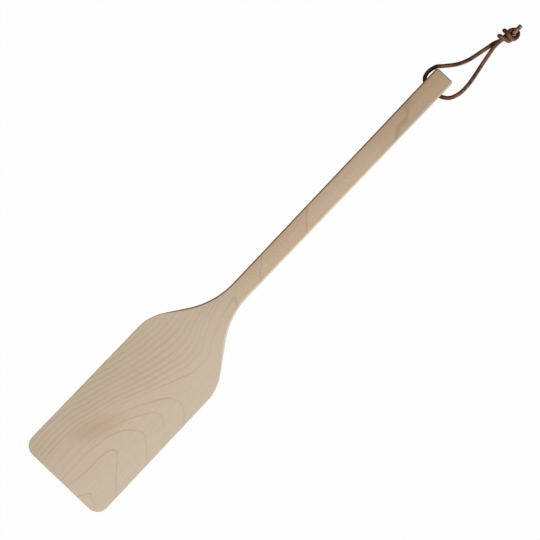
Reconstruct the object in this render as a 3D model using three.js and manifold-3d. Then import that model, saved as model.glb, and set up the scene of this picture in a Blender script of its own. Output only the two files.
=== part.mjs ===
// Wooden turner: a flat maple board, cut in one piece as blade, shoulders and handle, and a round
// leather thong that passes through a cross-bore in the handle and is tied in an overhand knot.
//
// Millimetres, +Z up. The board lies on its flat underside on the XY plane with its length along X.
// The blade's front edge is at -X, the handle's end at +X, and +Y is the left of someone who looks
// along the handle towards its end.

import * as THREE from "three";
import { mergeVertices } from "three/addons/utils/BufferGeometryUtils.js";
import Module from "manifold-3d";

// Outline of the board
const BOARD_LENGTH = 400;
const FRONT_WIDTH = 74; // blade at its front edge
const SHOULDER_WIDTH = 72; // blade where its shoulders begin
const NECK_WIDTH = 14.3; // handle where it leaves the shoulders
const END_WIDTH = 15.7; // handle at its end
const HANDLE_OFFSET = 1.5; // handle's axis, left of the blade's centre line
const NECK_FROM_FRONT = 169; // front edge to the corner of shoulder and handle
const SHOULDER_ANGLE = 34.7; // degrees between a shoulder and the handle's axis
const FRONT_CORNER_RADIUS = 9;
const SHOULDER_RADIUS = 34;
const NECK_RADIUS = 62;
const END_CORNER_RADIUS = 2.2;

// Thickness of the board
const HANDLE_THICKNESS = 9;
const FRONT_THICKNESS = 3.5;
const TAPER_BLEND = 48; // length over which the blade's taper levels out into the handle
const HANDLE_EDGE_RADIUS = 1.6;
const FRONT_EDGE_RADIUS = 1.1;
const EDGE_SHARE_LIMIT = 0.45; // an edge's rounding takes no more of the thickness than this

// Cross-bore and thong
const THONG_DIAMETER = 3;
const BORE_CLEARANCE = 0.8; // between the thong and the bore, all round
const BORE_FROM_END = 13.4;
const BORE_CHAMFER = 0.8;
const RUN_INSET = 2.7; // how far inside each mouth the thong's run in the bore ends
const BEND_INSET = 1.7; // how far inside each mouth the thong starts to bend
const PIECE_GAP = 0.3; // between one stretch of the thong and the next
const SURFACE_GAP = 0.05; // between the thong and the surface that it lies on

// Overhand knot, tied with both ends of the thong side by side and drawn tight
const KNOT_FROM_BORE = 64.9;
const KNOT_SIDE = -13.15; // from the handle's axis, to which the knot's axis is parallel
const KNOT_HEIGHT = 5.9; // of the knot's axis above the surface
const KNOT_STRAND_DIAMETER = 2.1; // the leather is squeezed where the knot grips it

// How finely the round stretches are cut
const FRONT_CORNER_STEPS = 8;
const SHOULDER_STEPS = 8;
const NECK_STEPS = 10;
const END_CORNER_STEPS = 4;
const EDGE_STEPS = 4;
const BORE_SIDES = 24;
const THONG_SIDES = 8;
const LEG_STEPS = 32;
const STRAND_STEPS = 76;
const MEASURING_STEPS = 40; // between two points of a route, for lengths along it
const MERGE_DISTANCE = 0.0001;

// Routes of the thong's two legs, from a bore mouth to the knot: along X from the bore's axis, out
// from the handle's side or from its axis, and up from the surface to the thong's underside
const LEFT_LEG_BESIDE = [
  [0.5, -0.3, 2.95],
  [1.6, 0.95, 2.9],
  [3.2, 1.9, 2.7],
  [5.4, 2.5, 2.4],
  [8.0, 2.6, 2.0],
  [10.6, 2.15, 1.6],
  [12.6, 1.6, 1.3],
];
const LEFT_LEG_BEYOND = [
  [14.6, 8.5, 1.0],
  [16.8, 6.4, 0.7],
  [19.8, 3.8, 0.4],
  [23.1, 1.0, 0.1],
  [26.6, -1.4, 0],
  [30.5, -3.4, 0],
  [35.0, -5.1, 0],
  [40.0, -6.35, 0],
  [45.0, -7.45, 0.1],
  [49.0, -8.35, 0.8],
];
const RIGHT_LEG_BESIDE = [
  [0.15, -0.3, 2.95],
  [0.7, 1.2, 2.9],
  [1.6, 2.8, 2.7],
  [3.1, 4.75, 2.4],
  [5.5, 6.6, 2.0],
  [8.8, 7.95, 1.5],
  [12.0, 8.75, 1.0],
];
const RIGHT_LEG_BEYOND = [
  [16.4, -16.85, 0.5],
  [21.0, -16.7, 0.1],
  [26.3, -16.0, 0],
  [31.9, -15.0, 0],
  [37.7, -13.9, 0.3],
  [43.5, -12.9, 1.2],
  [48.5, -12.0, 2.7],
];

// The two strands of the knot, as points along its axis, left of it and above it. A strand runs in
// along the knot's core, turns to the right and back over the top, goes round under the core and
// comes out through its own turn. The left strand lies lower and nearer to the legs.
const LEFT_WAY_IN = [
  [-12.9, 4.15, -2.7],
  [-10.1, 3.4, -2.3],
  [-7.4, 2.2, -1.75],
];
const LEFT_STRAND = [
  [-5.0, 1.2, -1.2],
  [-3.0, 1.1, -1.1],
  [-0.8, 1.0, -1.2],
  [0.6, 0.5, -1.9],
  [1.0, -0.9, -2.6],
  [0.5, -2.3, -2.5],
  [-0.6, -3.3, -1.75],
  [-1.9, -3.2, -0.2],
  [-2.8, -2.8, 1.6],
  [-3.6, -1.7, 3.3],
  [-4.0, 0.1, 4.1],
  [-4.3, 2.3, 3.6],
  [-4.5, 4.0, 1.9],
  [-4.5, 4.5, 0],
  [-4.1, 3.9, -1.8],
  [-3.3, 2.3, -3.4],
  [-2.7, 0.6, -4.0],
  [-2.5, -0.6, -3.7],
  [-2.1, -1.2, -2.8],
  [-1.4, -1.2, -1.7],
  [-0.3, -1.15, -0.6],
  [1.3, -0.8, -0.1],
  [3.2, -0.8, -0.8],
  [5.6, -1.0, -2.2],
  [8.2, -1.3, -2.6],
];
const RIGHT_WAY_IN = [
  [-12.5, 1.75, -0.2],
  [-9.8, 1.75, 0.8],
  [-7.3, 1.5, 1.3],
];
const RIGHT_STRAND = [
  [-4.9, 1.25, 1.5],
  [-2.5, 1.2, 1.5],
  [0.2, 1.4, 1.5],
  [2.6, 1.6, 1.2],
  [4.7, 0.9, 0.6],
  [6.3, -0.5, 0.1],
  [6.9, -2.3, 0],
  [6.2, -4.0, 0.1],
  [4.5, -5.0, 0.4],
  [2.5, -5.2, 1.0],
  [0.7, -4.7, 2.0],
  [-0.4, -3.5, 3.2],
  [-0.7, -1.7, 4.2],
  [-0.3, 0.4, 4.5],
  [0.2, 2.5, 3.8],
  [0.6, 4.1, 1.9],
  [0.8, 4.5, 0],
  [1.2, 3.8, -1.9],
  [1.9, 2.3, -3.5],
  [2.5, 0.2, -4.3],
  [3.0, -1.8, -3.9],
  [3.2, -3.1, -2.4],
  [2.9, -3.2, -0.7],
  [2.9, -2.8, 0.9],
  [3.7, -1.8, 1.9],
  [6.0, -1.6, 2.4],
  [8.6, -1.7, 2.1],
  [11.2, -1.7, 1.6],
];

const frontX = -BOARD_LENGTH / 2;
const endX = BOARD_LENGTH / 2;
const neckX = frontX + NECK_FROM_FRONT;
const boreX = endX - BORE_FROM_END;
const boreZ = HANDLE_THICKNESS / 2;
const thongRadius = THONG_DIAMETER / 2;
const radians = THREE.MathUtils.degToRad;

const wasm = await Module();
wasm.setup();

const maple = new THREE.MeshStandardMaterial({ color: 0xc4b195, roughness: 0.62, metalness: 0 });
const leather = new THREE.MeshStandardMaterial({ color: 0x5c3d2c, roughness: 0.5, metalness: 0 });

// Half the handle's width at a place along it.
function handleHalfWidth(x) {
  const along = (x - neckX) / (endX - neckX);
  return THREE.MathUtils.lerp(NECK_WIDTH, END_WIDTH, along) / 2;
}

// The blade tapers in a straight line from the neck to the front edge, and a parabola levels it
// out into the handle.
function thicknessAt(x) {
  const slope = (HANDLE_THICKNESS - FRONT_THICKNESS) / NECK_FROM_FRONT;
  const along = (x - neckX) / TAPER_BLEND + 0.5;
  if (along < 0) {
    return HANDLE_THICKNESS + slope * (x - neckX);
  }
  const left = 1 - Math.min(along, 1);
  return HANDLE_THICKNESS - slope * (TAPER_BLEND / 2) * left * left;
}

// The edges are rounded less where the board is thinner.
function edgeRadiusAt(x) {
  const thickness = thicknessAt(x);
  const along = (thickness - FRONT_THICKNESS) / (HANDLE_THICKNESS - FRONT_THICKNESS);
  const radius = THREE.MathUtils.lerp(FRONT_EDGE_RADIUS, HANDLE_EDGE_RADIUS, along);
  return Math.min(radius, thickness * EDGE_SHARE_LIMIT);
}

// A rounded corner of an outline that runs clockwise: points with their outward normals.
function roundedCorner(before, corner, after, radius, steps) {
  const arriving = corner.clone().sub(before).normalize();
  const leaving = after.clone().sub(corner).normalize();
  const turn = Math.atan2(arriving.cross(leaving), arriving.dot(leaving));
  const reach = radius * Math.tan(Math.abs(turn) / 2);
  const bulge = -Math.sign(turn) * radius;
  const outward = new THREE.Vector2(-arriving.y, arriving.x);
  const centre = corner.clone().addScaledVector(arriving, -reach).addScaledVector(outward, -bulge);
  const origin = new THREE.Vector2();
  return Array.from({ length: steps + 1 }, (_, step) => {
    const normal = outward.clone().rotateAround(origin, (turn * step) / steps);
    return { point: centre.clone().addScaledVector(normal, bulge), normal };
  });
}

// The edge of one side of the board, from the front to the handle's end. The side is 1 for left
// and -1 for right, and the points are measured out from the blade's centre line.
function boardSide(side) {
  const axis = side * HANDLE_OFFSET;
  const rise = Math.tan(radians(SHOULDER_ANGLE));
  const neckOut = axis + NECK_WIDTH / 2;
  const shoulderOut = SHOULDER_WIDTH / 2;
  const shoulderX = neckX - (shoulderOut - neckOut) / rise;
  const corners = [
    new THREE.Vector2(frontX, 0),
    new THREE.Vector2(frontX, FRONT_WIDTH / 2),
    new THREE.Vector2(shoulderX, shoulderOut),
    new THREE.Vector2(neckX, neckOut),
    new THREE.Vector2(endX, axis + END_WIDTH / 2),
    new THREE.Vector2(endX, axis),
  ];
  const rounding = [
    [FRONT_CORNER_RADIUS, FRONT_CORNER_STEPS],
    [SHOULDER_RADIUS, SHOULDER_STEPS],
    [NECK_RADIUS, NECK_STEPS],
    [END_CORNER_RADIUS, END_CORNER_STEPS],
  ];
  return rounding.flatMap(([radius, steps], index) =>
    roundedCorner(corners[index], corners[index + 1], corners[index + 2], radius, steps),
  );
}

// Heights and insets of the rings that round an edge off, from the underside to the top face.
function edgeProfile(x) {
  const radius = edgeRadiusAt(x);
  const thickness = thicknessAt(x);
  const lower = Array.from({ length: EDGE_STEPS + 1 }, (_, step) => {
    const angle = ((Math.PI / 2) * step) / EDGE_STEPS;
    return { inset: radius * (1 - Math.sin(angle)), height: radius * (1 - Math.cos(angle)) };
  });
  const upper = lower.map(({ inset, height }) => ({ inset, height: thickness - height }));
  return [...lower, ...upper.reverse()];
}

// The board without its bore: rings of edge points from the underside to the top face, closed by
// strips that cross the board from one side to the other.
function boardBlank() {
  const left = boardSide(1);
  const right = boardSide(-1);
  const perSide = left.length;
  const edge = [
    ...left.map(({ point, normal }) => ({ point, normal, side: 1 })),
    ...right.map(({ point, normal }) => ({ point, normal, side: -1 })).reverse(),
  ];
  const count = edge.length;
  const levels = 2 * (EDGE_STEPS + 1);
  const positions = [];
  for (let level = 0; level < levels; level += 1) {
    for (const { point, normal, side } of edge) {
      const { inset, height } = edgeProfile(point.x)[level];
      const place = point.clone().addScaledVector(normal, -inset);
      positions.push(place.x, side * place.y, height);
    }
  }
  const triangles = [];
  for (let level = 0; level < levels - 1; level += 1) {
    for (let here = 0; here < count; here += 1) {
      const next = (here + 1) % count;
      const low = level * count;
      const high = low + count;
      triangles.push(low + here, high + here, high + next, low + here, high + next, low + next);
    }
  }
  const top = (levels - 1) * count;
  for (let here = 0; here < perSide - 1; here += 1) {
    const across = count - 1 - here;
    triangles.push(here, here + 1, across - 1, here, across - 1, across);
    triangles.push(top + here, top + across - 1, top + here + 1);
    triangles.push(top + here, top + across, top + across - 1);
  }
  const geometry = new THREE.BufferGeometry();
  geometry.setAttribute("position", new THREE.Float32BufferAttribute(positions, 3));
  geometry.setIndex(triangles);
  return geometry;
}

// The tool that cuts the cross-bore, with a small chamfer at both mouths.
function boreCutter() {
  const radius = thongRadius + BORE_CLEARANCE;
  const mouth = handleHalfWidth(boreX);
  const clear = mouth + radius;
  const profile = [
    new THREE.Vector2(0, -clear),
    new THREE.Vector2(radius + BORE_CHAMFER + clear - mouth, -clear),
    new THREE.Vector2(radius, BORE_CHAMFER - mouth),
    new THREE.Vector2(radius, mouth - BORE_CHAMFER),
    new THREE.Vector2(radius + BORE_CHAMFER + clear - mouth, clear),
    new THREE.Vector2(0, clear),
  ];
  const cutter = new THREE.LatheGeometry(profile, BORE_SIDES);
  cutter.translate(boreX, HANDLE_OFFSET, boreZ);
  return cutter;
}

// A closed geometry as a solid, without the empty triangles at the poles of a lathe.
function toSolid(geometry) {
  geometry.deleteAttribute("normal");
  geometry.deleteAttribute("uv");
  const merged = mergeVertices(geometry, MERGE_DISTANCE);
  const corners = merged.index.array;
  const triangles = [];
  for (let first = 0; first < corners.length; first += 3) {
    const triangle = corners.slice(first, first + 3);
    if (new Set(triangle).size === 3) {
      triangles.push(...triangle);
    }
  }
  const mesh = new wasm.Mesh({
    numProp: 3,
    vertProperties: merged.attributes.position.array,
    triVerts: new Uint32Array(triangles),
  });
  return new wasm.Manifold(mesh);
}

function toGeometry(solid) {
  const mesh = solid.getMesh();
  const geometry = new THREE.BufferGeometry();
  geometry.setAttribute("position", new THREE.BufferAttribute(mesh.vertProperties, 3));
  geometry.setIndex(new THREE.BufferAttribute(mesh.triVerts, 1));
  geometry.computeVertexNormals();
  return geometry;
}

function spatulaBoard() {
  const solid = toSolid(boardBlank()).subtract(toSolid(boreCutter()));
  const mesh = new THREE.Mesh(toGeometry(solid), maple);
  mesh.name = "spatula_board";
  return mesh;
}

// Points of the knot, laid beyond the bore.
function knotRoute(points) {
  return points.map(
    ([along, left, up]) =>
      new THREE.Vector3(KNOT_FROM_BORE + along, KNOT_SIDE + left, KNOT_HEIGHT + up),
  );
}

// A leg's way from just inside its bore mouth to where the knot takes hold. The side is 1 for left
// and -1 for right.
function legRoute(side, beside, beyond, wayIn) {
  const mouth = handleHalfWidth(boreX);
  const inBore = [RUN_INSET + THONG_DIAMETER, RUN_INSET, BEND_INSET].map(
    (inset) => new THREE.Vector3(0, side * (mouth - inset), boreZ),
  );
  const near = beside.map(
    ([along, out, up]) =>
      new THREE.Vector3(along, side * (mouth + out), up + thongRadius + SURFACE_GAP),
  );
  const far = beyond.map(
    ([along, left, up]) => new THREE.Vector3(along, left, up + thongRadius + SURFACE_GAP),
  );
  return [...inBore, ...near, ...far, ...knotRoute(wayIn)];
}

// A stretch of a curve between two lengths along it.
function stretch(curve, from, to, steps) {
  const length = curve.getLength();
  const points = Array.from({ length: steps + 1 }, (_, step) =>
    curve.getPointAt(THREE.MathUtils.lerp(from, to, step / steps) / length),
  );
  return new THREE.CatmullRomCurve3(points, false, "centripetal");
}

function roundTube(name, path, diameter, steps) {
  const corners = Array.from({ length: THONG_SIDES }, (_, side) => {
    const angle = (2 * Math.PI * (side + 0.5)) / THONG_SIDES;
    return new THREE.Vector2(Math.cos(angle), Math.sin(angle)).multiplyScalar(diameter / 2);
  });
  const geometry = new THREE.ExtrudeGeometry(new THREE.Shape(corners), {
    steps,
    extrudePath: path,
    bevelEnabled: false,
  });
  const mesh = new THREE.Mesh(geometry, leather.clone());
  mesh.name = name;
  return mesh;
}

// One half of the thong, from its bore mouth to its cut end: the free leg and, from where the knot
// takes hold, the squeezed strand inside the knot with its tail.
function thongHalf(side, leg, strand) {
  const route = [...leg, ...knotRoute(strand)];
  const curve = new THREE.CatmullRomCurve3(route, false, "centripetal");
  curve.arcLengthDivisions = (route.length - 1) * MEASURING_STEPS;
  const lengths = curve.getLengths();
  const runEnd = lengths[MEASURING_STEPS];
  const joint = lengths[(leg.length - 1) * MEASURING_STEPS];
  const legPath = stretch(curve, runEnd + PIECE_GAP, joint - PIECE_GAP / 2, LEG_STEPS);
  const strandPath = stretch(curve, joint + PIECE_GAP / 2, curve.getLength(), STRAND_STEPS);
  return [
    roundTube(`thong_${side}_leg`, legPath, THONG_DIAMETER, LEG_STEPS),
    roundTube(`thong_${side}_knot_strand`, strandPath, KNOT_STRAND_DIAMETER, STRAND_STEPS),
  ];
}

function thong() {
  const group = new THREE.Group();
  group.position.set(boreX, HANDLE_OFFSET, 0);
  const runLength = 2 * (handleHalfWidth(boreX) - RUN_INSET);
  const run = new THREE.Mesh(
    new THREE.CylinderGeometry(thongRadius, thongRadius, runLength, THONG_SIDES),
    leather.clone(),
  );
  run.name = "thong_bore_run";
  run.position.z = boreZ;
  const leftLeg = legRoute(1, LEFT_LEG_BESIDE, LEFT_LEG_BEYOND, LEFT_WAY_IN);
  const rightLeg = legRoute(-1, RIGHT_LEG_BESIDE, RIGHT_LEG_BEYOND, RIGHT_WAY_IN);
  group.add(
    run,
    ...thongHalf("left", leftLeg, LEFT_STRAND),
    ...thongHalf("right", rightLeg, RIGHT_STRAND),
  );
  return group;
}

const spatula = new THREE.Group();
spatula.add(spatulaBoard(), thong());

export default spatula;
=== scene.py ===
# Wooden turner with a leather hanging thong, seen from straight above on a white table.
#
# Metres, +Z up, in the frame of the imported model: the board lies along X on its flat underside,
# its blade at -X and its handle's end at +X, and +Y is the left of someone who looks along it.

import math
from itertools import pairwise

import bmesh
import bpy
from mathutils import Matrix, Vector
from mathutils.geometry import interpolate_bezier


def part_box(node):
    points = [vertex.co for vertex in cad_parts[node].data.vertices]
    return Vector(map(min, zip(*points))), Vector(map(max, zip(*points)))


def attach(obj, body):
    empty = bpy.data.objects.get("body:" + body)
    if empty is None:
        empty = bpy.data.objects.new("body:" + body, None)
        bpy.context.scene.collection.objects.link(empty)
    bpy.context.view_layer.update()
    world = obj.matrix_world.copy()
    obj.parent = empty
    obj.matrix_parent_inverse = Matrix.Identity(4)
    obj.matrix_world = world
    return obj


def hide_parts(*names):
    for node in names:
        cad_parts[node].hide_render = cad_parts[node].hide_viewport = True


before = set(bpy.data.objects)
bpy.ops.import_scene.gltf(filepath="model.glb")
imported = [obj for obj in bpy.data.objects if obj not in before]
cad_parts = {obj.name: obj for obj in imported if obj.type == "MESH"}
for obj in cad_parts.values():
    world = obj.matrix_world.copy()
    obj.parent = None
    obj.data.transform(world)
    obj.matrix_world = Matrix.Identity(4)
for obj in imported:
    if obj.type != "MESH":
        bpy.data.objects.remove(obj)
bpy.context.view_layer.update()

MM = 0.001
UP = Vector((0, 0, 1))
WHITE = (1, 1, 1, 1)
MERGE_DISTANCE = 0.000001

# View of the photograph: straight down, with the handle running up to the right
IMAGE_WIDTH = 0.386  # width of the table that the image takes in
IMAGE_CENTRE = Vector((0.0130, -0.0039, 0.005))
IMAGE_TURN = -46.4  # degrees
LENS = 120  # millimetres, as the sensor's width is
SENSOR = 36

# Light: one soft box off the board's right side, low enough to leave the left edges in shade
KEY_DIRECTION = Vector((-0.22, -1.0, 0.84))
KEY_DISTANCE = 1.35
KEY_SIZE = 0.55
KEY_POWER = 24.8  # watts
AMBIENT_STRENGTH = 0.1

# Table
TABLE_REACH = 8
TABLE_GAP = 0.00002  # below the board's underside
TABLE_LIFT = 0.985  # how far the table is lifted to plain white, so that the shadow stays faint

# Board
SHOULDER_WIDTH = 0.072
NECK_WIDTH = 0.0143
END_WIDTH = 0.0157
HANDLE_OFFSET = 0.0015  # handle's axis, left of the blade's centre line
NECK_FROM_FRONT = 0.169
SHOULDER_ANGLE = 34.7  # degrees between a shoulder and the handle's axis
FRONT_CORNER_RADIUS = 0.009
SHOULDER_RADIUS = 0.034
NECK_RADIUS = 0.062
END_CORNER_RADIUS = 0.0022
FRONT_THICKNESS = 0.0035
TAPER_BLEND = 0.048
ARC_STEP = 3.0  # degrees
STRIPS = 80

# Rounding of the board's edges: crisp round the blade and eased along the handle
BLADE_EDGE_RADIUS = 0.0004
HANDLE_EDGE_RADIUS = 0.0014
EASING_START = -0.061  # along X, on the straight of the shoulders
EASING_END = -0.048
EDGE_ANGLE = 60  # degrees that the board's faces turn through at an edge, at the least
EDGE_SEGMENTS = 5

# Cross-bore and thong
THONG_DIAMETER = 0.003
BORE_RADIUS = 0.0023
BORE_FROM_END = 0.0134
BORE_FLARE = 0.0012  # radius of the rounding at the mouths
BEND_INSET = 0.0017  # how far inside each mouth the thong starts to bend
BORE_SEGMENTS = 40
FLARE_SEGMENTS = 6
SURFACE_GAP = 0.00005
THONG_SIDES = 18
RING_SPACING = 0.0004
CUT_ROUNDING = 0.0003
CUT_SEGMENTS = 3

# Overhand knot, tied with both ends of the thong side by side
KNOT_FROM_BORE = 0.0649
KNOT_SIDE = -0.01315  # from the handle's axis, to which the knot's axis is parallel
KNOT_HEIGHT = 0.0059  # of the knot's axis above the table
STRAND_DIAMETER = 0.0031  # inside the knot, where the strands press into each other

# Routes of the thong's legs, from a bore mouth to the knot: along X from the bore's axis, out from
# the handle's side or from its axis, and up from the table to the thong's underside
LEFT_LEG_BESIDE = [
    (0.0005, -0.0003, 0.00295),
    (0.0016, 0.00095, 0.0029),
    (0.0032, 0.0019, 0.0027),
    (0.0054, 0.0025, 0.0024),
    (0.0080, 0.0026, 0.0020),
    (0.0106, 0.00215, 0.0016),
    (0.0126, 0.0016, 0.0013),
]
LEFT_LEG_BEYOND = [
    (0.0146, 0.0085, 0.0010),
    (0.0168, 0.0064, 0.0007),
    (0.0198, 0.0038, 0.0004),
    (0.0231, 0.0010, 0.0001),
    (0.0266, -0.0014, 0),
    (0.0305, -0.0034, 0),
    (0.0350, -0.0051, 0),
    (0.0400, -0.00635, 0),
    (0.0450, -0.00745, 0.0001),
    (0.0490, -0.00835, 0.0008),
]
RIGHT_LEG_BESIDE = [
    (0.00015, -0.0003, 0.00295),
    (0.0007, 0.0012, 0.0029),
    (0.0016, 0.0028, 0.0027),
    (0.0031, 0.00475, 0.0024),
    (0.0055, 0.0066, 0.0020),
    (0.0088, 0.00795, 0.0015),
    (0.0120, 0.00875, 0.0010),
]
RIGHT_LEG_BEYOND = [
    (0.0164, -0.01685, 0.0005),
    (0.0210, -0.0167, 0.0001),
    (0.0263, -0.0160, 0),
    (0.0319, -0.0150, 0),
    (0.0377, -0.0139, 0.0003),
    (0.0435, -0.0129, 0.0012),
    (0.0485, -0.0120, 0.0027),
]

# The knot's two strands: points along its axis, left of it and above it. A strand runs in along the
# core, turns to the right and back over the top, goes round under the core and comes out through
# its own turn.
LEFT_WAY_IN = [
    (-0.0129, 0.00415, -0.0027),
    (-0.0101, 0.0034, -0.0023),
    (-0.0074, 0.0022, -0.00175),
]
LEFT_STRAND = [
    (-0.0050, 0.0012, -0.0012),
    (-0.0030, 0.0011, -0.0011),
    (-0.0008, 0.0010, -0.0012),
    (0.0006, 0.0005, -0.0019),
    (0.0010, -0.0009, -0.0026),
    (0.0005, -0.0023, -0.0025),
    (-0.0006, -0.0033, -0.00175),
    (-0.0019, -0.0032, -0.0002),
    (-0.0028, -0.0028, 0.0016),
    (-0.0036, -0.0017, 0.0033),
    (-0.0040, 0.0001, 0.0041),
    (-0.0043, 0.0023, 0.0036),
    (-0.0045, 0.0040, 0.0019),
    (-0.0045, 0.0045, 0),
    (-0.0041, 0.0039, -0.0018),
    (-0.0033, 0.0023, -0.0034),
    (-0.0027, 0.0006, -0.0040),
    (-0.0025, -0.0006, -0.0037),
    (-0.0021, -0.0012, -0.0028),
    (-0.0014, -0.0012, -0.0017),
    (-0.0003, -0.00115, -0.0006),
    (0.0013, -0.0008, -0.0001),
    (0.0032, -0.0008, -0.0008),
    (0.0056, -0.0010, -0.0022),
    (0.0082, -0.0013, -0.0026),
]
RIGHT_WAY_IN = [
    (-0.0125, 0.00175, -0.0002),
    (-0.0098, 0.00175, 0.0008),
    (-0.0073, 0.0015, 0.0013),
]
RIGHT_STRAND = [
    (-0.0049, 0.00125, 0.0015),
    (-0.0025, 0.0012, 0.0015),
    (0.0002, 0.0014, 0.0015),
    (0.0026, 0.0016, 0.0012),
    (0.0047, 0.0009, 0.0006),
    (0.0063, -0.0005, 0.0001),
    (0.0069, -0.0023, 0),
    (0.0062, -0.0040, 0.0001),
    (0.0045, -0.0050, 0.0004),
    (0.0025, -0.0052, 0.0010),
    (0.0007, -0.0047, 0.0020),
    (-0.0004, -0.0035, 0.0032),
    (-0.0007, -0.0017, 0.0042),
    (-0.0003, 0.0004, 0.0045),
    (0.0002, 0.0025, 0.0038),
    (0.0006, 0.0041, 0.0019),
    (0.0008, 0.0045, 0),
    (0.0012, 0.0038, -0.0019),
    (0.0019, 0.0023, -0.0035),
    (0.0025, 0.0002, -0.0043),
    (0.0030, -0.0018, -0.0039),
    (0.0032, -0.0031, -0.0024),
    (0.0029, -0.0032, -0.0007),
    (0.0029, -0.0028, 0.0009),
    (0.0037, -0.0018, 0.0019),
    (0.0060, -0.0016, 0.0024),
    (0.0086, -0.0017, 0.0021),
    (0.0112, -0.0017, 0.0016),
]
LEFT_LENGTH = 0.121  # of the thong's halves, from the middle of the bore to the cut ends
RIGHT_LENGTH = 0.132

board_low, board_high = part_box("spatula_board")
handle_thickness = board_high.z
neck_x = board_low.x + NECK_FROM_FRONT
bore_x = board_high.x - BORE_FROM_END
bore_z = handle_thickness / 2


def lerp(start, end, share):
    return start + (end - start) * share


def handle_half_width(x):
    return lerp(NECK_WIDTH, END_WIDTH, (x - neck_x) / (board_high.x - neck_x)) / 2


bore_mouth = handle_half_width(bore_x)


# Materials

# Places of a Mix node's inputs, for numbers and for colours, and of a mixed colour
FACTOR = 0
FIRST_NUMBER = 2
SECOND_NUMBER = 3
FIRST_COLOUR = 6
SECOND_COLOUR = 7
MIXED_COLOUR = 2


def linear(hex_colour):
    """An sRGB hex value as linear red, green, blue and alpha."""
    channels = [int(hex_colour[place:place + 2], 16) / 255 for place in (1, 3, 5)]
    return [c / 12.92 if c <= 0.04045 else ((c + 0.055) / 1.055) ** 2.4 for c in channels] + [1.0]


def add_node(tree, kind, inputs=(), **settings):
    """Adds a node with its settings, and sets or links its inputs by name or number."""
    node = tree.nodes.new(kind)
    for name, value in settings.items():
        setattr(node, name, value)
    for socket, value in dict(inputs).items():
        if isinstance(value, bpy.types.NodeSocket):
            tree.links.new(value, node.inputs[socket])
        else:
            node.inputs[socket].default_value = value
    return node


def blank_material(name):
    material = bpy.data.materials.new(name)
    material.use_nodes = True
    material.node_tree.nodes.clear()
    return material, material.node_tree


def across(size):
    """The scale at which a pattern's features are about as wide as a size in millimetres."""
    return 1 / (size * MM)


def through_points(tree, value, points):
    """A smooth function of a value, through points of a place and the result there."""
    first, last = points[0][0], points[-1][0]
    results = [result for _, result in points]
    lowest, highest = min(results), max(results)
    heights = [(result - lowest) / (highest - lowest) for result in results]
    along = add_node(tree, "ShaderNodeMapRange", {
        "Value": value, "From Min": first, "From Max": last,
    }).outputs[0]
    bend = add_node(tree, "ShaderNodeFloatCurve", {"Value": along})
    curve = bend.mapping.curves[0]
    for (place, _), height in zip(points[1:-1], heights[1:-1]):
        curve.points.new((place - first) / (last - first), height)
    curve.points[0].location.y = heights[0]
    curve.points[-1].location.y = heights[-1]
    bend.mapping.update()
    return add_node(tree, "ShaderNodeMapRange", {
        "Value": bend.outputs[0], "To Min": lowest, "To Max": highest,
    }).outputs[0]


# Growth rings of the board, in metres. A ring's line comes up the blade's left side along the
# grain, arches over and falls off to the right. On the left, rings are counted by how far left of
# one line of the grain they lie, and on the right by where they cross the board's middle. The grain
# is straighter at the blade's left edge than in its middle, and almost straight within the arches.
EDGE_GRAIN_WAY = [
    (-0.200, 0.0095),
    (-0.177, 0.0105),
    (-0.144, 0.0040),
    (-0.108, -0.0069),
    (-0.085, -0.0115),
    (-0.069, -0.0128),
    (-0.054, -0.0120),
    (0.000, 0.0000),
    (0.200, 0.0400),
]
GRAIN_WAY = [
    (-0.200, 0.0120),
    (-0.172, 0.0160),
    (-0.144, 0.0074),
    (-0.086, -0.0159),
    (-0.069, -0.0185),
    (-0.054, -0.0124),
    (-0.046, -0.0077),
    (0.000, 0.0200),
    (0.050, 0.0400),
    (0.200, 0.0400),
]
INNER_GRAIN_WAY = [(-0.200, 0.0155), (-0.180, 0.0128), (-0.163, 0.0125)] + GRAIN_WAY[2:]
RINGS_LEFT = [
    (-0.0600, -1),
    (-0.0285, 1),
    (-0.0205, 2),
    (-0.0125, 3),
    (-0.0070, 4),
    (0.0000, 5),
    (0.0066, 6),
    (0.0098, 7),
    (0.0600, 20),
]
RINGS_RIGHT = [
    (-0.300, -3),
    (-0.160, 1),
    (-0.1385, 2),
    (-0.108, 3),
    (-0.090, 4),
    (-0.070, 5),
    (-0.016, 6),
    (0.007, 7),
    (0.056, 8),
    (0.157, 9),
    (0.300, 10),
]
FALL_SLOPE = 1.16  # along the board per width, where a line falls off to the right
# Rings over which a line turns from its left side to its right, by the place along the board
ARCH_BREADTH = [
    (-0.200, 2.4),
    (-0.183, 2.1),
    (-0.165, 1.7),
    (-0.135, 3.4),
    (-0.110, 3.6),
    (0.200, 3.6),
]

# Sizes of the wood's patterns in millimetres, and how far they are drawn out along the board
RING_DEPTH = 3.0  # how far down into the board one ring goes
WANDER_SIZE = 22
WANDER_SCALE = (0.5, 1, 1)
WOBBLE_SIZE = 9
FIGURE_SIZE = 16
FIBRE_SIZE = 0.9
FIBRE_SCALE = (0.03, 1, 1)
PORE_SIZE = 0.5
PORE_SCALE = (0.14, 1, 1)

# How far the rings stray and how wide their lines are, in rings
RING_WANDER = 0.3
RING_WOBBLE = 0.1
HALF_RING = 0.5
LEFT_LINE_WIDTH = 0.11
RIGHT_LINE_WIDTH = 0.038
CLOSE_LINE_WIDTH = 0.42
HANDLE_LINE_WIDTH = 0.028
EDGE_LINE_WIDTH = 0.13  # where the board's edges cut the rings across
EDGE_FLATNESS = 0.4  # upright share of the surface's normal, on the edges and on the faces
FACE_FLATNESS = 0.9
FIRST_WIDTH_SHARE = 0.4  # of the other lines' width, for the first ring's line

# Rings between which the lines change: into the close rings, counted by the left side, and from
# the first ring to the second
CLOSE_RINGS_START = 5.5
CLOSE_RINGS_FULL = 8.0
FIRST_RING_END = 1.2
SECOND_RING_START = 1.7
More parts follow.
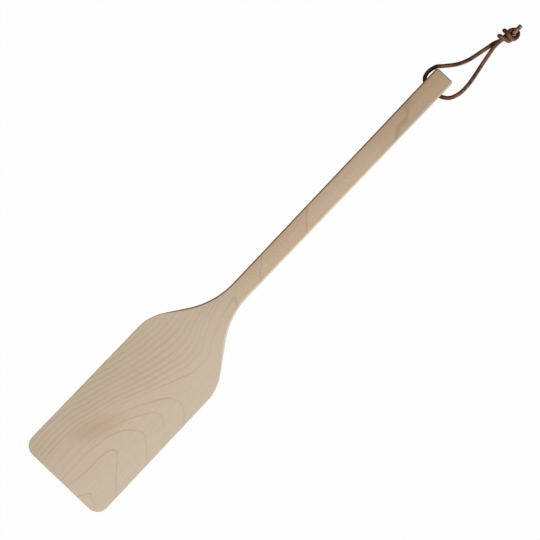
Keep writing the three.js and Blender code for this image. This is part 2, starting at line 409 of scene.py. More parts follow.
# Rings by which the right side's count leads the left side's: before and past the top of an arch,
# then far down its left side and nearer to its top
BEFORE_TOP_LEAD = -0.8
PAST_TOP_LEAD = 0.4
FAR_LEAD = -3.0
NEAR_LEAD = -1.2

# Strength of the ring lines, and the shares of it that are left where they are fainter
FAINT_LINE = 0.24
CLEAR_LINE = 0.42
HANDLE_LINE = 0.5
LEFT_SHARE = 0.55
CLOSE_SHARE = 0.72
SHOULDER_SHARE = 0.55

# Where the wood and its painted light and shade change, along the board and then left of its centre
# line
SHOULDERS_START = -0.11
SHOULDERS_END = -0.06
HANDLE_WOOD_START = -0.05
HANDLE_WOOD_FULL = 0.01
END_SHADE_START = 0.09
END_SHADE_FULL = 0.18
MIDDLE_GRAIN_SIDE = -0.012
EDGE_GRAIN_SIDE = 0.022
ARCH_OUTSIDE = 0.006
ARCH_INSIDE = -0.004
# Painted light across the blade: paler towards its right side, where the light falls, and browner
# towards its left
LIT_BLADE_SIDE = -0.03
SHADED_BLADE_SIDE = 0.03

# Painted shade, browner, at the handle's end and along its left side, and warmer wood towards both
# of its sides
END_SHADE = 0.45
LEFT_SHADE = 0.33
LEFT_SHADE_START = -0.002  # left of the handle's axis
LEFT_SHADE_FULL = 0.007
SIDE_WARMTH = 45.0  # per metre from the handle's axis

# Strength of the wood's streaks and pores, and the height of its fibres in millimetres
STREAK_STRENGTH = 0.14
PORE_STRENGTH = 0.13
FIBRE_RELIEF = 0.02

# A faint blush in the wood, where the rings crowd together before they part into their arches
BLUSH_PLACE = (-0.1535, 0.0078, 0.004)
BLUSH_TURN = -23.5  # degrees
BLUSH_REACH = (0.026, 0.010, 0.012)
BLUSH_STRENGTH = 0.4


def ring_counts(tree, place, axes):
    """Counts of the rings: by the left side, by the right side, with both joined in arches, and as
    the wood grew, dipping with the depth and straying. Last comes the noise that they stray by."""
    to_edge = add_node(tree, "ShaderNodeMapRange", {
        "Value": axes["Y"], "From Min": MIDDLE_GRAIN_SIDE, "From Max": EDGE_GRAIN_SIDE,
    }, interpolation_type="SMOOTHSTEP").outputs[0]
    to_inside = add_node(tree, "ShaderNodeMapRange", {
        "Value": axes["Y"], "From Min": ARCH_OUTSIDE, "From Max": ARCH_INSIDE,
    }, interpolation_type="SMOOTHSTEP").outputs[0]
    inner_grain = add_node(tree, "ShaderNodeMix", {
        FACTOR: to_inside,
        FIRST_NUMBER: through_points(tree, axes["X"], GRAIN_WAY),
        SECOND_NUMBER: through_points(tree, axes["X"], INNER_GRAIN_WAY),
    }).outputs[0]
    grain = add_node(tree, "ShaderNodeMix", {
        FACTOR: to_edge,
        FIRST_NUMBER: inner_grain,
        SECOND_NUMBER: through_points(tree, axes["X"], EDGE_GRAIN_WAY),
    }).outputs[0]
    from_grain = add_node(tree, "ShaderNodeMath", {
        0: axes["Y"], 1: grain,
    }, operation="SUBTRACT").outputs[0]
    rings_left = through_points(tree, from_grain, RINGS_LEFT)
    crossing = add_node(tree, "ShaderNodeMath", {
        0: axes["Y"], 1: -FALL_SLOPE, 2: axes["X"],
    }, operation="MULTIPLY_ADD").outputs[0]
    rings_right = through_points(tree, crossing, RINGS_RIGHT)
    arching_rings = add_node(tree, "ShaderNodeMath", {
        0: rings_left, 1: rings_right, 2: through_points(tree, axes["X"], ARCH_BREADTH),
    }, operation="SMOOTH_MAX").outputs[0]

    top = add_node(tree, "ShaderNodeMapRange", {
        "Value": axes["X"], "From Min": board_low.x, "From Max": neck_x,
        "To Min": FRONT_THICKNESS, "To Max": handle_thickness,
    }).outputs[0]
    depth = add_node(tree, "ShaderNodeMath", {
        0: top, 1: axes["Z"],
    }, operation="SUBTRACT").outputs[0]
    dipping = add_node(tree, "ShaderNodeMath", {
        0: depth, 1: across(RING_DEPTH), 2: arching_rings,
    }, operation="MULTIPLY_ADD").outputs[0]
    drawn_out = add_node(tree, "ShaderNodeMapping", {
        "Vector": place, "Scale": WANDER_SCALE,
    }).outputs[0]
    wander = add_node(tree, "ShaderNodeTexNoise", {
        "Vector": drawn_out, "Scale": across(WANDER_SIZE), "Detail": 1.0,
    }).outputs["Fac"]
    wandering = add_node(tree, "ShaderNodeMath", {
        0: wander, 1: RING_WANDER, 2: dipping,
    }, operation="MULTIPLY_ADD").outputs[0]
    wobble = add_node(tree, "ShaderNodeTexNoise", {
        "Vector": place, "Scale": across(WOBBLE_SIZE), "Detail": 2.0,
    }).outputs["Fac"]
    wobbling = add_node(tree, "ShaderNodeMath", {
        0: wobble, 1: RING_WOBBLE, 2: wandering,
    }, operation="MULTIPLY_ADD").outputs[0]
    grown_rings = add_node(tree, "ShaderNodeMath", {
        0: wobbling, 1: (RING_WANDER + RING_WOBBLE) / 2,
    }, operation="SUBTRACT").outputs[0]
    return rings_left, rings_right, arching_rings, grown_rings, wander


def ring_lines(tree, coordinates, axes, along_handle, to_shoulder):
    """How strongly the line of a ring shows: thin where a ring arches, and soft and broad in the
    close rings on the left."""
    counts = ring_counts(tree, coordinates["Object"], axes)
    rings_left, rings_right, arching_rings, grown_rings, wander = counts
    lead = add_node(tree, "ShaderNodeMath", {
        0: rings_right, 1: rings_left,
    }, operation="SUBTRACT").outputs[0]
    close_rings = add_node(tree, "ShaderNodeMapRange", {
        "Value": rings_left, "From Min": CLOSE_RINGS_START, "From Max": CLOSE_RINGS_FULL,
    }, interpolation_type="SMOOTHSTEP").outputs[0]

    # Width of a line, by the side, by the ring, in the handle and on the board's edges
    side_width = add_node(tree, "ShaderNodeMapRange", {
        "Value": lead, "From Min": BEFORE_TOP_LEAD, "From Max": PAST_TOP_LEAD,
        "To Min": LEFT_LINE_WIDTH, "To Max": RIGHT_LINE_WIDTH,
    }).outputs[0]
    first_ring = add_node(tree, "ShaderNodeMapRange", {
        "Value": arching_rings, "From Min": FIRST_RING_END, "From Max": SECOND_RING_START,
        "To Min": FIRST_WIDTH_SHARE, "To Max": 1.0,
    }).outputs[0]
    arch_width = add_node(tree, "ShaderNodeMath", {
        0: side_width, 1: first_ring,
    }, operation="MULTIPLY").outputs[0]
    blade_width = add_node(tree, "ShaderNodeMix", {
        FACTOR: close_rings, FIRST_NUMBER: arch_width, SECOND_NUMBER: CLOSE_LINE_WIDTH,
    }).outputs[0]
    face_width = add_node(tree, "ShaderNodeMix", {
        FACTOR: along_handle, FIRST_NUMBER: blade_width, SECOND_NUMBER: HANDLE_LINE_WIDTH,
    }).outputs[0]
    facing = add_node(tree, "ShaderNodeSeparateXYZ", {0: coordinates["Normal"]}).outputs["Z"]
    flatness = add_node(tree, "ShaderNodeMath", {0: facing}, operation="ABSOLUTE").outputs[0]
    line_width = add_node(tree, "ShaderNodeMapRange", {
        "Value": flatness, "From Min": EDGE_FLATNESS, "From Max": FACE_FLATNESS,
        "To Min": EDGE_LINE_WIDTH, "To Max": face_width,
    }).outputs[0]
    from_line = add_node(tree, "ShaderNodeMath", {
        0: grown_rings, 1: HALF_RING,
    }, operation="PINGPONG").outputs[0]
    line = add_node(tree, "ShaderNodeMapRange", {
        "Value": from_line, "From Min": line_width, "From Max": 0.0,
    }, interpolation_type="SMOOTHSTEP").outputs[0]

    # Strength of a line: patchy, and fainter down the left, in the close rings and at the shoulders
    patchy = add_node(tree, "ShaderNodeMapRange", {
        "Value": wander, "From Min": 0.35, "From Max": 0.62,
        "To Min": FAINT_LINE, "To Max": CLEAR_LINE,
    }).outputs[0]
    left_share = add_node(tree, "ShaderNodeMapRange", {
        "Value": lead, "From Min": FAR_LEAD, "From Max": NEAR_LEAD,
        "To Min": LEFT_SHARE, "To Max": 1.0,
    }).outputs[0]
    side_share = add_node(tree, "ShaderNodeMix", {
        FACTOR: close_rings, FIRST_NUMBER: left_share, SECOND_NUMBER: CLOSE_SHARE,
    }).outputs[0]
    side_strength = add_node(tree, "ShaderNodeMath", {
        0: patchy, 1: side_share,
    }, operation="MULTIPLY").outputs[0]
    blade_strength = add_node(tree, "ShaderNodeMath", {
        0: side_strength, 1: to_shoulder,
    }, operation="MULTIPLY").outputs[0]
    strength = add_node(tree, "ShaderNodeMix", {
        FACTOR: along_handle, FIRST_NUMBER: blade_strength, SECOND_NUMBER: HANDLE_LINE,
    }).outputs[0]
    return add_node(tree, "ShaderNodeMath", {
        0: line, 1: strength,
    }, operation="MULTIPLY").outputs[0]


def maple_tone(tree, place, axes, along_handle, to_shoulder):
    """Broad tones of the wood: warmer and figured in the handle, with one blush in the blade. Light
    and shade are painted in too: the blade is paler towards its right side, where the light falls,
    and the handle is browner along its left side and at its end, as painted shade."""
    # Painted light: the blade is paler towards its right side, where the light falls, and browner
    # towards its left
    painted_side_shade = add_node(tree, "ShaderNodeMapRange", {
        "Value": axes["Y"], "From Min": LIT_BLADE_SIDE, "From Max": SHADED_BLADE_SIDE,
    }, interpolation_type="SMOOTHSTEP").outputs[0]
    blade_side_shade = add_node(tree, "ShaderNodeMath", {
        0: painted_side_shade, 1: to_shoulder,
    }, operation="MULTIPLY").outputs[0]
    blade_tone = add_node(tree, "ShaderNodeMix", {
        FACTOR: blade_side_shade,
        FIRST_COLOUR: linear("#cbbaa3"),
        SECOND_COLOUR: linear("#c5b39d"),
    }, data_type="RGBA").outputs[MIXED_COLOUR]

    figure = add_node(tree, "ShaderNodeTexNoise", {
        "Vector": place, "Scale": across(FIGURE_SIZE), "Detail": 1.0,
    }).outputs["Fac"]
    off_axis = add_node(tree, "ShaderNodeMath", {
        0: axes["Y"], 1: HANDLE_OFFSET,
    }, operation="SUBTRACT").outputs[0]
    to_sides = add_node(tree, "ShaderNodeMath", {0: off_axis}, operation="ABSOLUTE").outputs[0]
    warmth = add_node(tree, "ShaderNodeMath", {
        0: to_sides, 1: SIDE_WARMTH, 2: figure,
    }, operation="MULTIPLY_ADD").outputs[0]
    figured = add_node(tree, "ShaderNodeMapRange", {
        "Value": warmth, "From Min": 0.42, "From Max": 0.85,
    }, interpolation_type="SMOOTHSTEP").outputs[0]
    handle_tone = add_node(tree, "ShaderNodeMix", {
        FACTOR: figured,
        FIRST_COLOUR: linear("#c8b29a"),
        SECOND_COLOUR: linear("#c9ae92"),
    }, data_type="RGBA").outputs[MIXED_COLOUR]
    board_tone = add_node(tree, "ShaderNodeMix", {
        FACTOR: along_handle, FIRST_COLOUR: blade_tone, SECOND_COLOUR: handle_tone,
    }, data_type="RGBA").outputs[MIXED_COLOUR]

    # Painted shade: browner at the handle's end and along the handle's left side
    end_shade = add_node(tree, "ShaderNodeMapRange", {
        "Value": axes["X"], "From Min": END_SHADE_START, "From Max": END_SHADE_FULL,
        "To Max": END_SHADE,
    }, interpolation_type="SMOOTHSTEP").outputs[0]
    left_shade = add_node(tree, "ShaderNodeMapRange", {
        "Value": off_axis, "From Min": LEFT_SHADE_START, "From Max": LEFT_SHADE_FULL,
        "To Max": LEFT_SHADE,
    }).outputs[0]
    painted_shade = add_node(tree, "ShaderNodeMath", {
        0: left_shade, 1: along_handle, 2: end_shade,
    }, operation="MULTIPLY_ADD").outputs[0]
    shaded_tone = add_node(tree, "ShaderNodeMix", {
        FACTOR: painted_shade, FIRST_COLOUR: board_tone, SECOND_COLOUR: linear("#a98e72"),
    }, data_type="RGBA").outputs[MIXED_COLOUR]

    around_blush = add_node(tree, "ShaderNodeMapping", {
        "Vector": place,
        "Location": BLUSH_PLACE,
        "Rotation": (0, 0, math.radians(BLUSH_TURN)),
        "Scale": BLUSH_REACH,
    }, vector_type="TEXTURE").outputs[0]
    blush = add_node(tree, "ShaderNodeTexGradient", {
        "Vector": around_blush,
    }, gradient_type="SPHERICAL").outputs["Fac"]
    blushing = add_node(tree, "ShaderNodeMath", {
        0: blush, 1: BLUSH_STRENGTH,
    }, operation="MULTIPLY").outputs[0]
    return add_node(tree, "ShaderNodeMix", {
        FACTOR: blushing, FIRST_COLOUR: shaded_tone, SECOND_COLOUR: linear("#a8835f"),
    }, data_type="RGBA").outputs[MIXED_COLOUR]


def sanded_maple():
    """Hard maple, flat-sawn, sanded smooth and unvarnished: a pale, faintly pink-grey wood with
    fine brown ring lines that arch across the blade, silky streaks and tiny pores along the grain,
    and a soft, broad gloss."""
    material, tree = blank_material("sanded_maple")
    coordinates = add_node(tree, "ShaderNodeTexCoord").outputs
    place = coordinates["Object"]
    axes = add_node(tree, "ShaderNodeSeparateXYZ", {0: place}).outputs
    along_handle = add_node(tree, "ShaderNodeMapRange", {
        "Value": axes["X"], "From Min": HANDLE_WOOD_START, "From Max": HANDLE_WOOD_FULL,
    }, interpolation_type="SMOOTHSTEP").outputs[0]
    to_shoulder = add_node(tree, "ShaderNodeMapRange", {
        "Value": axes["X"], "From Min": SHOULDERS_START, "From Max": SHOULDERS_END,
        "To Min": 1.0, "To Max": SHOULDER_SHARE,
    }).outputs[0]
    lined = add_node(tree, "ShaderNodeMix", {
        FACTOR: ring_lines(tree, coordinates, axes, along_handle, to_shoulder),
        FIRST_COLOUR: maple_tone(tree, place, axes, along_handle, to_shoulder),
        SECOND_COLOUR: linear("#9c8468"),
    }, data_type="RGBA").outputs[MIXED_COLOUR]

    # Fibre streaks and pores run with the grain, drawn coarser than they are so that they show
    fibres_along = add_node(tree, "ShaderNodeMapping", {
        "Vector": place, "Scale": FIBRE_SCALE,
    }).outputs[0]
    fibres = add_node(tree, "ShaderNodeTexNoise", {
        "Vector": fibres_along, "Scale": across(FIBRE_SIZE), "Detail": 3.0, "Roughness": 0.6,
    }).outputs["Fac"]
    streaks = add_node(tree, "ShaderNodeMapRange", {
        "Value": fibres, "From Min": 0.3, "From Max": 0.7, "To Max": STREAK_STRENGTH,
    }).outputs[0]
    streaked = add_node(tree, "ShaderNodeMix", {
        FACTOR: streaks, FIRST_COLOUR: lined, SECOND_COLOUR: linear("#9d8667"),
    }, data_type="RGBA").outputs[MIXED_COLOUR]
    pores_along = add_node(tree, "ShaderNodeMapping", {
        "Vector": place, "Scale": PORE_SCALE,
    }).outputs[0]
    pore_noise = add_node(tree, "ShaderNodeTexNoise", {
        "Vector": pores_along, "Scale": across(PORE_SIZE), "Detail": 1.0,
    }).outputs["Fac"]
    pores = add_node(tree, "ShaderNodeMapRange", {
        "Value": pore_noise, "From Min": 0.62, "From Max": 0.72, "To Max": PORE_STRENGTH,
    }).outputs[0]
    colour = add_node(tree, "ShaderNodeMix", {
        FACTOR: pores, FIRST_COLOUR: streaked, SECOND_COLOUR: linear("#8a7254"),
    }, data_type="RGBA").outputs[MIXED_COLOUR]

    roughness = add_node(tree, "ShaderNodeMapRange", {
        "Value": fibres, "From Min": 0.3, "From Max": 0.7, "To Min": 0.52, "To Max": 0.66,
    }).outputs[0]
    relief = add_node(tree, "ShaderNodeBump", {
        "Height": fibres, "Strength": 0.25, "Distance": FIBRE_RELIEF * MM,
    }).outputs[0]
    shader = add_node(tree, "ShaderNodeBsdfPrincipled", {
        "Base Color": colour, "Roughness": roughness, "Normal": relief,
        "IOR": 1.5, "Specular IOR Level": 0.3,
    })
    add_node(tree, "ShaderNodeOutputMaterial", {0: shader.outputs[0]})
    return material


# Sizes of the leather's patterns in millimetres, and how far its creases are drawn out along it
DYE_SIZE = 6
CREASE_SIZE = 0.6
CREASE_SCALE = (1, 1, 0.1)
LEATHER_GRAIN_SIZE = 0.5
CUT_FIBRE_SIZE = 0.3  # of the bundles that the fibres lie in
LEATHER_RELIEF = 0.12  # heights of the surfaces
CUT_RELIEF = 0.15
# Darkness painted into the creases, as shade
CREASE_SHADE_STRENGTH = 0.5
CREASE_RELIEF_SHARE = 0.8  # of the creases' height beside the grain's
# Share of a lighter, more orange tone on the tails, by the length from the middle of the bore:
# partly worn dye and partly a painted highlight. At the very end of the longer tail it falls off
# again, as painted shade where the cut end faces away from the light.
WEAR_AND_PAINTED_LIGHT = [
    (0.000, 0.0),
    (0.113, 0.0),
    (0.117, 0.6),
    (0.126, 0.7),
    (0.128, 0.3),
    (0.129, 0.2),
]


def waxed_leather():
    """Round cord of vegetable-tanned leather, dyed brown and waxed: dark and uneven in tone, with
    fine creases along it that are painted darker as shade, a tight grain and a greasy, rather
    narrow gloss. Its tails are lighter and more orange, partly worn dye and partly a painted
    highlight."""
    material, tree = blank_material("waxed_leather")
    straight = add_node(tree, "ShaderNodeAttribute", attribute_name="straight").outputs["Vector"]
    dye = add_node(tree, "ShaderNodeTexNoise", {
        "Vector": straight, "Scale": across(DYE_SIZE), "Detail": 2.0,
    }).outputs["Fac"]
    dyed = add_node(tree, "ShaderNodeMapRange", {
        "Value": dye, "From Min": 0.35, "From Max": 0.65,
    }).outputs[0]
    tone = add_node(tree, "ShaderNodeMix", {
        FACTOR: dyed, FIRST_COLOUR: linear("#4a2f1e"), SECOND_COLOUR: linear("#7b553d"),
    }, data_type="RGBA").outputs[MIXED_COLOUR]
    drawn_out = add_node(tree, "ShaderNodeMapping", {
        "Vector": straight, "Scale": CREASE_SCALE,
    }).outputs[0]
    crease_noise = add_node(tree, "ShaderNodeTexNoise", {
        "Vector": drawn_out, "Scale": across(CREASE_SIZE), "Detail": 3.0,
    }).outputs["Fac"]
    # Painted shade: the creases are darkened in colour
    crease_shade = add_node(tree, "ShaderNodeMapRange", {
        "Value": crease_noise, "From Min": 0.55, "From Max": 0.75, "To Max": CREASE_SHADE_STRENGTH,
    }).outputs[0]
    crease_shaded = add_node(tree, "ShaderNodeMix", {
        FACTOR: crease_shade, FIRST_COLOUR: tone, SECOND_COLOUR: linear("#2a1710"),
    }, data_type="RGBA").outputs[MIXED_COLOUR]
    along = add_node(tree, "ShaderNodeSeparateXYZ", {0: straight}).outputs["Z"]
    # Lighter, more orange tails: partly worn dye, partly a painted highlight, with painted shade at
    # the very tip
    colour = add_node(tree, "ShaderNodeMix", {
        FACTOR: through_points(tree, along, WEAR_AND_PAINTED_LIGHT),
        FIRST_COLOUR: crease_shaded,
        SECOND_COLOUR: linear("#a87b5c"),
    }, data_type="RGBA").outputs[MIXED_COLOUR]

    grain = add_node(tree, "ShaderNodeTexVoronoi", {
        "Vector": straight, "Scale": across(LEATHER_GRAIN_SIZE),
    }, feature="SMOOTH_F1").outputs["Distance"]
    surface = add_node(tree, "ShaderNodeMath", {
        0: crease_noise, 1: CREASE_RELIEF_SHARE, 2: grain,
    }, operation="MULTIPLY_ADD").outputs[0]
    relief = add_node(tree, "ShaderNodeBump", {
        "Height": surface, "Strength": 0.35, "Distance": LEATHER_RELIEF * MM,
    }).outputs[0]
    roughness = add_node(tree, "ShaderNodeMapRange", {
        "Value": dye, "From Min": 0.3, "From Max": 0.7, "To Min": 0.48, "To Max": 0.36,
    }).outputs[0]
    shader = add_node(tree, "ShaderNodeBsdfPrincipled", {
        "Base Color": colour, "Roughness": roughness, "Normal": relief,
        "IOR": 1.45, "Specular IOR Level": 0.15,
    })
    add_node(tree, "ShaderNodeOutputMaterial", {0: shader.outputs[0]})
    return material


def cut_leather():
    """The cord's inside where a knife cut it: undyed, matt and fibrous."""
    material, tree = blank_material("cut_leather")
    straight = add_node(tree, "ShaderNodeAttribute", attribute_name="straight").outputs["Vector"]
    fibres = add_node(tree, "ShaderNodeTexNoise", {
        "Vector": straight, "Scale": across(CUT_FIBRE_SIZE), "Detail": 3.0,
    }).outputs["Fac"]
    colour = add_node(tree, "ShaderNodeMix", {
        FACTOR: fibres, FIRST_COLOUR: linear("#7d5136"), SECOND_COLOUR: linear("#b4835c"),
    }, data_type="RGBA").outputs[MIXED_COLOUR]
    relief = add_node(tree, "ShaderNodeBump", {
        "Height": fibres, "Strength": 0.5, "Distance": CUT_RELIEF * MM,
    }).outputs[0]
    shader = add_node(tree, "ShaderNodeBsdfPrincipled", {
        "Base Color": colour, "Roughness": 0.85, "Normal": relief, "Specular IOR Level": 0.2,
    })
    add_node(tree, "ShaderNodeOutputMaterial", {0: shader.outputs[0]})
    return material


def seen_straight(tree):
    """1 for rays from the camera, or through a reflection or a clear thing, and 0 for others."""
    path = add_node(tree, "ShaderNodeLightPath").outputs
    mirrored = add_node(tree, "ShaderNodeMath", {
        0: path["Is Camera Ray"], 1: path["Is Glossy Ray"],
    }, operation="MAXIMUM").outputs[0]
    return add_node(tree, "ShaderNodeMath", {
        0: mirrored, 1: path["Is Transmission Ray"],
    }, operation="MAXIMUM").outputs[0]


def white_table():
    """Matt white board, lifted to plain white where it is looked at."""
    material, tree = blank_material("white_table")
    matt = add_node(tree, "ShaderNodeBsdfDiffuse", {"Color": linear("#8f8f8f")}).outputs[0]
    plain = add_node(tree, "ShaderNodeEmission", {"Color": WHITE, "Strength": 1.0}).outputs[0]
    lift = add_node(tree, "ShaderNodeMath", {
        0: seen_straight(tree), 1: TABLE_LIFT,
    }, operation="MULTIPLY").outputs[0]
    shader = add_node(tree, "ShaderNodeMixShader", {0: lift, 1: matt, 2: plain}).outputs[0]
    add_node(tree, "ShaderNodeOutputMaterial", {0: shader})
    return material


def white_studio():
    """Soft even light all round, which is plain white where it is looked at."""
    world = bpy.data.worlds.new("white_studio")
    world.use_nodes = True
    tree = world.node_tree
    tree.nodes.clear()
    soft = add_node(tree, "ShaderNodeBackground", {
        "Color": WHITE, "Strength": AMBIENT_STRENGTH,
    }).outputs[0]
    plain = add_node(tree, "ShaderNodeBackground", {"Color": WHITE, "Strength": 1.0}).outputs[0]
    sky = add_node(tree, "ShaderNodeMixShader", {
        0: seen_straight(tree), 1: soft, 2: plain,
    }).outputs[0]
    add_node(tree, "ShaderNodeOutputWorld", {0: sky})
    return world


# Meshes

def finished(name, bm, *materials):
    """A bmesh as a smooth-shaded object at the origin."""
    mesh = bpy.data.meshes.new(name)
    bm.to_mesh(mesh)
    bm.free()
    mesh.shade_smooth()
    for material in materials:
        mesh.materials.append(material)
    piece = bpy.data.objects.new(name, mesh)
    bpy.context.scene.collection.objects.link(piece)
    return piece


def board_corners():
    """The outline's corners with the radius of each, clockwise from the front's left corner."""
    rise = math.tan(math.radians(SHOULDER_ANGLE))
    corners = []
    for side in (1, -1):
        neck = HANDLE_OFFSET + side * NECK_WIDTH / 2
        shoulder = side * SHOULDER_WIDTH / 2
        half = [
            ((board_low.x, side * board_high.y), FRONT_CORNER_RADIUS),
            ((neck_x - abs(shoulder - neck) / rise, shoulder), SHOULDER_RADIUS),
            ((neck_x, neck), NECK_RADIUS),
            ((board_high.x, HANDLE_OFFSET + side * END_WIDTH / 2), END_CORNER_RADIUS),
        ]
        corners += half if side == 1 else half[::-1]
    return [(Vector(spot), radius) for spot, radius in corners]


def draw_outline(bm, corners):
    """Draws a closed outline with rounded corners and fills it."""
    pen = None
    start = None
    count = len(corners)
    for index, (corner, radius) in enumerate(corners):
        arriving = (corner - corners[index - 1][0]).normalized()
        leaving = (corners[(index + 1) % count][0] - corner).normalized()
        turn = math.atan2(arriving.cross(leaving), arriving.dot(leaving))
        tangent = corner - arriving * radius * math.tan(abs(turn) / 2)
        inward = Vector((-arriving.y, arriving.x)) * math.copysign(radius, turn)
        if pen is None:
            pen = start = bm.verts.new(tangent.to_3d())
        else:
            pen = bmesh.ops.extrude_vert_indiv(bm, verts=[pen])["verts"][0]
            pen.co = tangent.to_3d()
        arc = bmesh.ops.spin(
            bm,
            geom=[pen],
            cent=(tangent + inward).to_3d(),
            axis=UP,
            angle=turn,
            steps=math.ceil(math.degrees(abs(turn)) / ARC_STEP),
        )
        pen = arc["geom_last"][0]
    bm.edges.new((pen, start))
    bmesh.ops.contextual_create(bm, geom=bm.edges[:])


def thickness_at(x):
    """The blade tapers straight down to its front, and a parabola levels it into the handle."""
    slope = (handle_thickness - FRONT_THICKNESS) / NECK_FROM_FRONT
    along = (x - neck_x) / TAPER_BLEND + 0.5
    if along < 0:
        return handle_thickness + slope * (x - neck_x)
    left = 1 - min(along, 1)
    return handle_thickness - slope * TAPER_BLEND / 2 * left * left


def edge_radius(x):
    share = (x - EASING_START) / (EASING_END - EASING_START)
    return lerp(BLADE_EDGE_RADIUS, HANDLE_EDGE_RADIUS, min(max(share, 0), 1))


def bore_cutter():
    """The shape that cuts the cross-bore: a round rod that flares out at both mouths."""
    bm = bmesh.new()
    clear = bore_mouth + BORE_RADIUS
    profile = [(clear, BORE_RADIUS + BORE_FLARE)]
    for step in range(FLARE_SEGMENTS, -1, -1):
        angle = math.pi / 2 * step / FLARE_SEGMENTS
        along = bore_mouth - BORE_FLARE * (1 - math.sin(angle))
        profile.append((along, BORE_RADIUS + BORE_FLARE * (1 - math.cos(angle))))
    profile += [(-along, out) for along, out in reversed(profile)]
    pen = bm.verts.new((0, clear, 0))
    for along, out in profile + [(-clear, 0)]:
        pen = bmesh.ops.extrude_vert_indiv(bm, verts=[pen])["verts"][0]
        pen.co = (out, along, 0)
    bmesh.ops.spin(
        bm,
        geom=bm.verts[:] + bm.edges[:],
        cent=(0, 0, 0),
        axis=(0, 1, 0),
        angle=2 * math.pi,
        steps=BORE_SEGMENTS,
        use_merge=True,
    )
    bmesh.ops.remove_doubles(bm, verts=bm.verts[:], dist=MERGE_DISTANCE)
    bmesh.ops.recalc_face_normals(bm, faces=bm.faces[:])
    bmesh.ops.translate(bm, verts=bm.verts[:], vec=(bore_x, HANDLE_OFFSET, bore_z))
    return finished("bore_cutter", bm)


def maple_board(maple):
    """The board: its outline, cut into strips so that it can taper, raised to its thickness, eased
    all round its edges and bored through the handle."""
    bm = bmesh.new()
    draw_outline(bm, board_corners())
    for strip in range(1, STRIPS):
        whole = bm.verts[:] + bm.edges[:] + bm.faces[:]
        cut = Vector((lerp(board_low.x, board_high.x, strip / STRIPS), 0, 0))
        bmesh.ops.bisect_plane(bm, geom=whole, plane_co=cut, plane_no=(1, 0, 0))
    raised = bmesh.ops.extrude_face_region(bm, geom=bm.faces[:])
    top = [part for part in raised["geom"] if isinstance(part, bmesh.types.BMVert)]
    bmesh.ops.translate(bm, verts=top, vec=UP * handle_thickness)
    bmesh.ops.recalc_face_normals(bm, faces=bm.faces[:])
    weight = bm.edges.layers.float.new("bevel_weight_edge")
    for edge in bm.edges:
        if edge.calc_face_angle() > math.radians(EDGE_ANGLE):
            middle = (edge.verts[0].co.x + edge.verts[1].co.x) / 2
            edge[weight] = edge_radius(middle) / HANDLE_EDGE_RADIUS
    for vert in bm.verts:
        vert.co.z *= thickness_at(vert.co.x) / handle_thickness
    board = finished("maple_board", bm, maple)

    easing = board.modifiers.new("eased_edges", "BEVEL")
    easing.limit_method = "WEIGHT"
    easing.width = HANDLE_EDGE_RADIUS
    easing.segments = EDGE_SEGMENTS
    easing.profile = 0.5
    easing.use_clamp_overlap = False
    easing.loop_slide = False
    cutter = bore_cutter()
    bore = board.modifiers.new("bore", "BOOLEAN")
    bore.object = cutter
    bore.solver = "EXACT"
    bored = board.evaluated_get(bpy.context.evaluated_depsgraph_get())
    board.data = bpy.data.meshes.new_from_object(bored)
    board.data.name = "maple_board"
    board.modifiers.clear()
    bpy.data.objects.remove(cutter)
    board.modifiers.new("even_shading", "WEIGHTED_NORMAL")
    return board


def thong_route(side, beside, beyond, way_in, strand):
    """Half of the thong's way, from the middle of the bore to its cut end, with its thickness."""
    lift = THONG_DIAMETER / 2 + SURFACE_GAP
    bend = bore_mouth - BEND_INSET
    knot = Vector((KNOT_FROM_BORE, KNOT_SIDE, KNOT_HEIGHT))
    free = [Vector((0, side * bend * share, bore_z)) for share in (0, 0.5, 1)]
    free += [Vector((along, side * (bore_mouth + out), up + lift)) for along, out, up in beside]
    free += [Vector((along, left, up + lift)) for along, left, up in beyond]
    free += [knot + Vector(spot) for spot in way_in]
    knotted = [knot + Vector(spot) for spot in strand]
    origin = Vector((bore_x, HANDLE_OFFSET, 0))
    route = [(origin + spot, THONG_DIAMETER) for spot in free]
    return route + [(origin + spot, STRAND_DIAMETER) for spot in knotted]


def headings_along(spots):
    """The direction of a line at each of its points, taken from the points before and after."""
    around = [spots[0]] + spots + [spots[-1]]
    return [(after - before).normalized() for before, after in zip(around, around[2:])]


def smooth_line(route):
    """Points and diameters close together on a smooth curve through the route's points."""
    headings = headings_along([spot for spot, _ in route])
    line = []
    for index, ((start, thick), (end, next_thick)) in enumerate(pairwise(route)):
        length = (end - start).length
        leaving = start + headings[index] * (length / 3)
        arriving = end - headings[index + 1] * (length / 3)
        steps = max(2, round(length / RING_SPACING))
        bent = interpolate_bezier(start, leaving, arriving, end, steps + 1)
        for step, spot in enumerate(bent[:-1]):
            line.append((spot, lerp(thick, next_thick, step / steps)))
    return line + [route[-1]]


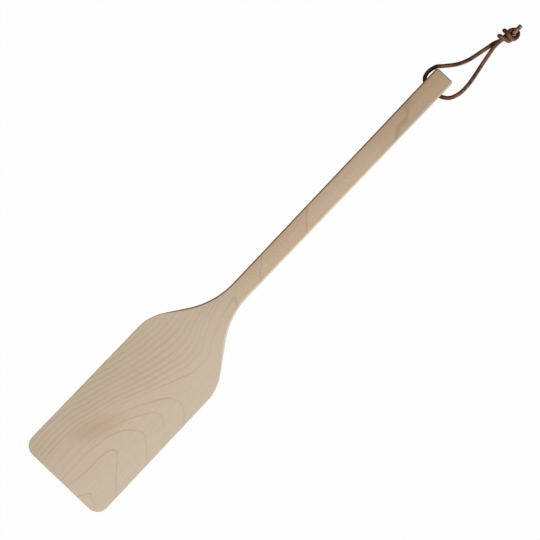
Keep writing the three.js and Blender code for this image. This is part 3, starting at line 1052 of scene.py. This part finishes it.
def thong_half(name, route, leather, cut_end):
    """A round cord swept along its route, with a slightly rounded cut end. The attribute says where
    a spot would be on the cord pulled straight: across it, and along it from the bore."""
    line = smooth_line(route)
    spots = [spot for spot, _ in line]
    headings = headings_along(spots)
    turned = headings[0].to_track_quat("Z", "X")
    frames = []
    for index, (spot, diameter) in enumerate(line):
        if index:
            turned = headings[index - 1].rotation_difference(headings[index]) @ turned
        frames.append(Matrix.LocRotScale(spot, turned, Vector((1, 1, 1)) * diameter / 2))

    bm = bmesh.new()
    straight = bm.verts.layers.float_vector.new("straight")
    ring = bmesh.ops.create_circle(bm, cap_ends=True, segments=THONG_SIDES, radius=1)["verts"]
    end_face = bm.faces[:][0]
    before = Matrix.Identity(4)
    along = 0.0
    for index, present in enumerate(frames):
        if index:
            grown = bmesh.ops.extrude_face_region(bm, geom=[end_face])["geom"]
            ring = [part for part in grown if isinstance(part, bmesh.types.BMVert)]
            end_face = next(part for part in grown if isinstance(part, bmesh.types.BMFace))
            along += (spots[index] - spots[index - 1]).length
        bmesh.ops.transform(bm, matrix=present @ before.inverted(), verts=ring)
        for vert in ring:
            flat = present.inverted() @ vert.co
            vert[straight] = (flat.x * THONG_DIAMETER / 2, flat.y * THONG_DIAMETER / 2, along)
        before = present
    end_face.material_index = 1
    bmesh.ops.bevel(
        bm,
        geom=end_face.edges[:],
        offset=CUT_ROUNDING,
        affect="EDGES",
        segments=CUT_SEGMENTS,
        profile=0.5,
        material=-1,
    )
    bmesh.ops.recalc_face_normals(bm, faces=bm.faces[:])
    return finished(name, bm, leather, cut_end), spots


def table(white):
    bm = bmesh.new()
    bmesh.ops.create_grid(bm, x_segments=1, y_segments=1, size=TABLE_REACH)
    bmesh.ops.translate(bm, verts=bm.verts[:], vec=UP * -TABLE_GAP)
    return finished("table", bm, white)


# The object

board = maple_board(sanded_maple())
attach(board, "board")
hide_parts("spatula_board")

leather = waxed_leather()
cut_end = cut_leather()
left_route = thong_route(1, LEFT_LEG_BESIDE, LEFT_LEG_BEYOND, LEFT_WAY_IN, LEFT_STRAND)
right_route = thong_route(-1, RIGHT_LEG_BESIDE, RIGHT_LEG_BEYOND, RIGHT_WAY_IN, RIGHT_STRAND)
left_half, left_line = thong_half("thong_left_half", left_route, leather, cut_end)
right_half, right_line = thong_half("thong_right_half", right_route, leather, cut_end)
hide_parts("thong_bore_run", "thong_left_leg", "thong_left_knot_strand")
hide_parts("thong_right_leg", "thong_right_knot_strand")
for half, side, line, length in (
    (left_half, 1, left_line, LEFT_LENGTH),
    (right_half, -1, right_line, RIGHT_LENGTH),
):
    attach(half, "thong")

# Table, light and camera

scene = bpy.context.scene
scene.view_settings.view_transform = "Standard"
scene.world = white_studio()
table(white_table())

key_data = bpy.data.lights.new("soft_box", "AREA")
key_data.energy = KEY_POWER
key_data.size = KEY_SIZE
key = bpy.data.objects.new("soft_box", key_data)
key.location = KEY_DIRECTION.normalized() * KEY_DISTANCE
key.rotation_euler = KEY_DIRECTION.to_track_quat("Z", "Y").to_euler()
scene.collection.objects.link(key)

camera_data = bpy.data.cameras.new("camera")
camera_data.lens = LENS
camera_data.sensor_width = SENSOR
camera = bpy.data.objects.new("camera", camera_data)
camera.location = IMAGE_CENTRE + UP * IMAGE_WIDTH * LENS / SENSOR
camera.rotation_euler.z = math.radians(IMAGE_TURN)
scene.collection.objects.link(camera)
scene.camera = camera
